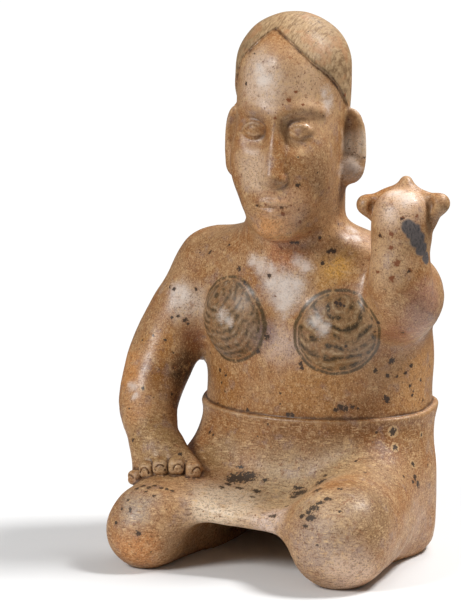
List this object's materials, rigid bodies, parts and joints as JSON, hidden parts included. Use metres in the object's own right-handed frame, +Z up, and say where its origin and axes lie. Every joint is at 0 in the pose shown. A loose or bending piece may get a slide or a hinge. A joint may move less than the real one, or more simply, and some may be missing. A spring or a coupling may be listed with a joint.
{
  "type": "seated female figure",
  "caption": "Hollow burnished earthenware figure of a woman sitting on folded legs, one hand on her thigh and the other raised beside her head.",
  "frame": {"origin": "on the ground under the middle of the bounding box", "axes": "+Z up, the figure faces -Y, and its left side is towards +X"},
  "size_m": [0.3234, 0.2894, 0.5],
  "materials": {
    "burnished_earthenware": "burnished tan to orange-brown slip with a soft gloss, dark mineral specks and grey fire clouds"
  },
  "bodies": {
    "root": {"seated_figure": "burnished_earthenware"}
  },
  "joints": []
}
